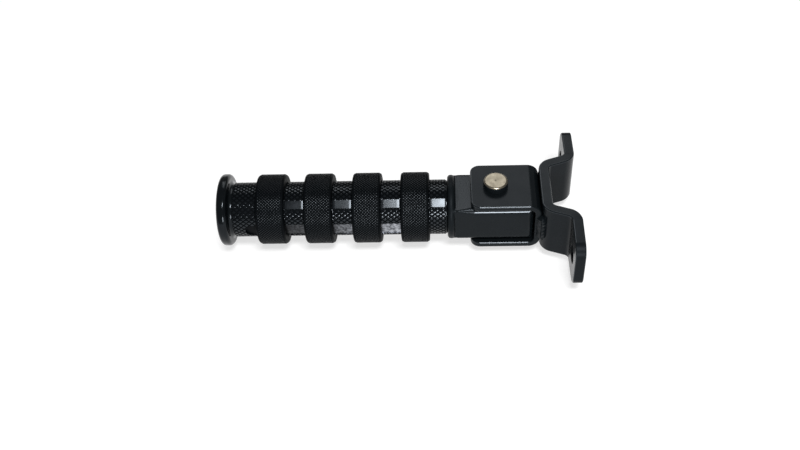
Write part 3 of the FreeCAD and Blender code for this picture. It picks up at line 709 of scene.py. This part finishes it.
bar_dark = (0.0012, 0.0018, 0.0026)
bar_pale = (0.0025, 0.0034, 0.0046)
bar_grain = {"fine_size": 1.6, "blotch_size": 6.0, "bump": 0.012 * MM}
gloss_black = black_finish(
    "gloss_black", bar_dark, bar_pale, sheen=0.38, roughness=0.13, spread=0.03, **bar_grain
)
# A darker black that barely reflects, painted into grooves and recesses as their shade.
recess_shade_black = black_finish(
    "recess_shade_black", (0.0008, 0.0012, 0.0016), (0.0016, 0.0022, 0.0028), sheen=0.04, roughness=0.5,
    spread=0.05, fine_size=0.5, blotch_size=5.0, bump=0.002 * MM,
)
satin_black = black_finish(
    "satin_black", (0.0014, 0.002, 0.0024), (0.003, 0.004, 0.0048), sheen=0.20, roughness=0.14,
    spread=0.03, fine_size=0.5, blotch_size=5.0, bump=0.003 * MM,
)
strip_black = black_finish(
    "strip_black", bar_dark, bar_pale, sheen=0.30, roughness=0.21, spread=0.05, **bar_grain
)
milled_bright = (0.43, 0.45, 0.49)
milled_dull = (0.10, 0.105, 0.12)
outer_end_dark = (0.004, 0.0045, 0.005, 1)
darkening_power = 1.9
mottle_low = 0.38
mottle_high = 0.62


def milled_metal():
    """Bare milled metal with cutter marks, its colour darker towards the outer end of the bar."""
    metal = finish(
        "milled_metal", milled_bright, milled_dull, roughness=0.32, spread=0.10, fine_size=0.4,
        blotch_size=1.1, bump=0.008 * MM,
    )
    nodes = metal.node_tree.nodes
    links = metal.node_tree.links
    shader = nodes["Principled BSDF"]
    shader.inputs["Metallic"].default_value = 1.0
    mottle = nodes.new("ShaderNodeMapRange")
    mottle.inputs["From Min"].default_value = mottle_low
    mottle.inputs["From Max"].default_value = mottle_high
    links.new(nodes["grain"].outputs["Blotch"], mottle.inputs["Value"])
    links.new(mottle.outputs["Result"], nodes["tint"].inputs["Factor"])
    place = nodes.new("ShaderNodeTexCoord")
    split = nodes.new("ShaderNodeSeparateXYZ")
    links.new(place.outputs["Object"], split.inputs["Vector"])
    along = nodes.new("ShaderNodeMapRange")
    along.inputs["From Min"].default_value = keyway_end
    along.inputs["From Max"].default_value = ring_boxes[0][0].x
    links.new(split.outputs["X"], along.inputs["Value"])
    undarkened = nodes.new("ShaderNodeMath")
    undarkened.operation = "POWER"
    undarkened.inputs[1].default_value = darkening_power
    links.new(along.outputs["Result"], undarkened.inputs[0])
    # The colour is mixed darker towards the outer end of the bar.
    darken = nodes.new("ShaderNodeMix")
    darken.data_type = "RGBA"
    darken.inputs["A"].default_value = outer_end_dark
    links.new(undarkened.outputs[0], darken.inputs["Factor"])
    links.new(nodes["tint"].outputs["Result"], darken.inputs["B"])
    links.new(darken.outputs["Result"], shader.inputs["Base Color"])
    return metal


bright_cut = milled_metal()
bar_finishes = [gloss_black, bright_cut, satin_black, recess_shade_black, strip_black]
bar_groove_index = bar_finishes.index(recess_shade_black)
knurl_start = flange_face + flare_round
knurl_end = bar_high.x - knurl_margin
bm = bmesh.new()
rims = knurled_tube(
    bm, knurl_start, knurl_end, knurl_floor, knurl_around, knurl_rows, knurl_steps, bar_groove_index
)
extend_ends(bm, rims, [(0, knurl_inner_share)], (knurl_start + knurl_end) / 2)
bmesh.ops.triangulate(bm, faces=bm.faces)
bar = new_piece("knurled_bar", bm, *bar_finishes)

rim_radius = flange_radius - flange_round
outline = [
    (bar_high.x, bolt_bore),
    (bar_high.x, core_radius - bar_chamfer),
    (bar_high.x - bar_chamfer, core_radius),
    *arc((flange_face + flare_round, core_radius + flare_round), flare_round, 270, 180),
    *arc((flange_face - flange_round, rim_radius), flange_round, 0, 90),
    *arc((bar_low.x + flange_round, rim_radius), flange_round, 90, 180),
    (bar_low.x, counterbore + bar_chamfer),
    (bar_low.x + bar_chamfer, counterbore),
    (bar_low.x + counterbore_depth, counterbore),
    (bar_low.x + counterbore_depth, bolt_bore),
    (bar_high.x, bolt_bore),
]
bm = bmesh.new()
turned(bm, [Vector((x, 0, out)) for x, out in outline], (0, 0, 0), (1, 0, 0), bar_sides)
turn_tool(bm, core_turn)
bmesh.ops.triangulate(bm, faces=bm.faces)
cut_away(bar, new_piece("bar_core", bm, satin_black), "UNION")


def strip_box(bm, start, end, width, top):
    """A block along the plain strip, with its top at the given height over the bar's axis."""
    block = bmesh.ops.create_cube(bm, size=1)["verts"]
    bmesh.ops.scale(bm, vec=(end - start, width, strip_depth), verts=block)
    bmesh.ops.translate(bm, verts=block, vec=((start + end) / 2, 0, top - strip_depth / 2))


land_starts = [high.x for low, high in ring_boxes]
land_ends = [knurl_end - tool_clearance] + [low.x for low, high in ring_boxes[:-1]]
bm = bmesh.new()
strip_box(bm, land_starts[-1], bar_high.x, strip_width - tool_clearance, knurl_floor + strip_depth)
turn_tool(bm, strip_turn)
cut_away(bar, new_piece("strip_mill", bm, recess_shade_black))

bm = bmesh.new()
for start, end in zip(land_starts, land_ends):
    strip_box(bm, start, end, strip_width, strip_top)
ends = [
    e for e in bm.edges
    if min(v.co.z for v in e.verts) > strip_top - strip_drop
    and abs(e.verts[0].co.x - e.verts[1].co.x) < strip_drop
]
drop_to_crown = Matrix.Diagonal((1, 1, strip_crown / strip_drop, 1))
stretch = drop_to_crown @ Matrix.Translation((0, 0, -strip_top))
bmesh.ops.transform(bm, matrix=stretch, verts=bm.verts)
bmesh.ops.bevel(
    bm, geom=ends, offset=strip_crown, offset_type="OFFSET", affect="EDGES", segments=strip_segments,
    profile=0.5, material=-1,
)
bmesh.ops.transform(bm, matrix=stretch.inverted(), verts=bm.verts)
turn_tool(bm, strip_turn)
cut_away(bar, new_piece("plain_strip", bm, strip_black), "UNION")

bm = bmesh.new()
for low, high in ring_boxes:
    outline = [
        (low.x - ring_clearance, groove_floor),
        (high.x + ring_clearance, groove_floor),
        (high.x + ring_clearance, groove_top),
        (low.x - ring_clearance, groove_top),
        (low.x - ring_clearance, groove_floor),
    ]
    turned(bm, [Vector((x, 0, out)) for x, out in outline], (0, 0, 0), (1, 0, 0), bar_sides)
turn_tool(bm, groove_turn)
cut_away(bar, new_piece("groove_tool", bm, gloss_black))


def mill_keyway(inner_end, extra, finish_left):
    """Mills a round-ended slot from the keyway's outer end, under the rings, to the given place."""
    half_slot = keyway_width / 2 + extra
    bm = bmesh.new()
    for x in (keyway_end + keyway_width / 2, inner_end):
        bmesh.ops.create_cone(
            bm, cap_ends=True, segments=hole_segments, radius1=half_slot, radius2=half_slot,
            depth=2 * half_slot, matrix=Matrix.Translation((x, 0, 0)),
        )
    hull = bmesh.ops.convex_hull(bm, input=bm.verts)
    bmesh.ops.delete(bm, geom=hull["geom_interior"], context="VERTS")
    bmesh.ops.dissolve_limit(bm, angle_limit=flat_angle, verts=bm.verts, edges=bm.edges)
    face_front = Matrix.Rotation(math.pi / 2 + keyway_turn, 4, "X")
    drop = Matrix.Translation((0, 0, shaft_radius - keyway_depth - extra + half_slot))
    bmesh.ops.transform(bm, matrix=face_front @ drop, verts=bm.verts)
    bmesh.ops.recalc_face_normals(bm, faces=bm.faces)
    cut_away(bar, new_piece("mill", bm, finish_left))


ring_middles = [(low.x + high.x) / 2 for low, high in ring_boxes]
mill_keyway(ring_middles[0], 0, bright_cut)
# The keyway's outer stretch, out to the last ring, takes the dark recess finish as painted shade.
mill_keyway(ring_middles[-1], tool_clearance, recess_shade_black)
bar.data.set_sharp_from_angle(angle=bar_soft_edge)
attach(bar, "footrest")
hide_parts("grip_bar")


# Rubber rings: four square rings of black rubber sprung into the bar's grooves, with a fine
# cross-knurl moulded into their outside and softly rounded edges. The knurl's grooves take the
# darker black that barely reflects, as painted shade.
rubber_around = 75
rubber_rows = 8
rubber_steps = ((0.12 * MM, 0), (0.08 * MM, 0.18 * MM), (0.12 * MM, 0.05 * MM))
rubber_depth = sum(rise for inset, rise in rubber_steps)
rubber_groove_index = 1
shoulder = 0.75 * MM
shoulder_angles = (30, 60, 90)
ring_bore = groove_floor + ring_clearance

rubber = black_finish(
    "moulded_rubber", (0.0022, 0.003, 0.0038), (0.004, 0.0052, 0.0062), sheen=0.22, roughness=0.22,
    spread=0.05, fine_size=0.25, blotch_size=5.0, bump=0.004 * MM,
)
for number, (low, high) in enumerate(ring_boxes, start=1):
    radius = high.z - rubber_depth
    bm = bmesh.new()
    rims = knurled_tube(
        bm, low.x + shoulder, high.x - shoulder, radius, rubber_around, rubber_rows, rubber_steps,
        rubber_groove_index,
    )
    steps = []
    before = 0.0
    for angle in map(math.radians, shoulder_angles):
        out = shoulder * (math.sin(angle) - math.sin(before))
        dip = shoulder * (math.cos(before) - math.cos(angle))
        steps.append((out, (radius - dip) / radius))
        radius -= dip
        before = angle
    steps.append((0, ring_bore / radius))
    extend_ends(bm, rims, steps, (low.x + high.x) / 2)
    ring = new_piece(f"knurled_ring_{number}", bm, rubber, recess_shade_black)
    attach(ring, "footrest")
    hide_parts(f"rubber_ring_{number}")


# Grip bolt, its washer, detent ball and spring: plain hardware inside the bar and tongue, all
# plated steel.
for name in ("grip_bolt", "bolt_washer", "detent_ball", "detent_spring"):
    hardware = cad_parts[name]
    hardware.data.materials.clear()
    hardware.data.materials.append(zinc)


# Floor and light: a pale floor just under the part and an even pale surround. Two soft lamps in
# front, one high and one low, give the streaks, and two weak panels behind light the upper faces.
floor_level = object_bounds()[0][2] - 0.5 * MM
floor_half = 4.0
floor_grey = (0.5, 0.5, 0.5, 1)
floor_roughness = 0.9
floor_glow = 0.58
surround_strength = 0.22
white = (1, 1, 1, 1)

bm = bmesh.new()
bmesh.ops.create_grid(bm, x_segments=1, y_segments=1, size=floor_half)
bmesh.ops.translate(bm, verts=bm.verts, vec=(0, 0, floor_level))
pale_floor = bpy.data.materials.new("pale_floor")
pale_floor.use_nodes = True
nodes = pale_floor.node_tree.nodes
links = pale_floor.node_tree.links
shader = nodes["Principled BSDF"]
shader.inputs["Base Color"].default_value = floor_grey
shader.inputs["Roughness"].default_value = floor_roughness
shader.inputs["Emission Color"].default_value = white
seen = nodes.new("ShaderNodeLightPath")
direct = nodes.new("ShaderNodeMath")
direct.operation = "MAXIMUM"
either = nodes.new("ShaderNodeMath")
either.operation = "MAXIMUM"
glow = nodes.new("ShaderNodeMath")
glow.operation = "MULTIPLY"
glow.inputs[1].default_value = floor_glow
links.new(seen.outputs["Is Camera Ray"], direct.inputs[0])
links.new(seen.outputs["Is Glossy Ray"], direct.inputs[1])
links.new(direct.outputs[0], either.inputs[0])
links.new(seen.outputs["Is Transmission Ray"], either.inputs[1])
links.new(either.outputs[0], glow.inputs[0])
links.new(glow.outputs[0], shader.inputs["Emission Strength"])
floor = new_piece("floor", bm, pale_floor)

world = bpy.data.worlds.new("pale_surround")
bpy.context.scene.world = world
world.use_nodes = True
sky = world.node_tree.nodes["Background"]
sky.inputs["Color"].default_value = white
sky.inputs["Strength"].default_value = surround_strength

grip_middle = Vector((-0.08, 0, 0))


def soft_lamp(name, place, width, height, power):
    """A large rectangular lamp that faces the middle of the grip."""
    light = bpy.data.lights.new(name, "AREA")
    light.shape = "RECTANGLE"
    light.size = width
    light.size_y = height
    light.energy = power
    lamp = bpy.data.objects.new(name, light)
    lamp.location = place
    lamp.rotation_euler = (grip_middle - Vector(place)).to_track_quat("-Z", "Y").to_euler()
    bpy.context.scene.collection.objects.link(lamp)


soft_lamp("high_lamp", (0.03, -0.44, 0.80), width=0.27, height=0.16, power=6.4)
soft_lamp("low_lamp", (0.05, -0.83, 0.22), width=0.28, height=0.22, power=4.8)
soft_lamp("back_panel", (0.04, 0.68, 0.71), width=0.36, height=0.50, power=1.2)
soft_lamp("side_panel", (-0.26, 0.66, 0.69), width=0.14, height=0.40, power=0.55)


# Camera: above and in front of the part, as the photograph was taken, looking down at a slant with
# the grip nearly level in the picture.
eye = Vector((-0.05412, -0.29886, 0.30776))
look_down = math.radians(46.79)
look_aside = math.radians(4.238)
lean = math.radians(-3.884)
camera_data = bpy.data.cameras.new("camera")
camera_data.sensor_fit = "HORIZONTAL"
camera_data.sensor_width = 36.0
camera_data.lens = 44.63
camera_data.clip_start = 0.01
camera_data.clip_end = 20.0
camera = bpy.data.objects.new("camera", camera_data)
bpy.context.scene.collection.objects.link(camera)
aim = Euler((math.pi / 2 - look_down, 0, look_aside)).to_matrix().to_4x4()
camera.matrix_world = Matrix.Translation(eye) @ aim @ Matrix.Rotation(lean, 4, "Z")
bpy.context.scene.camera = camera
bpy.context.scene.view_settings.view_transform = "Standard"
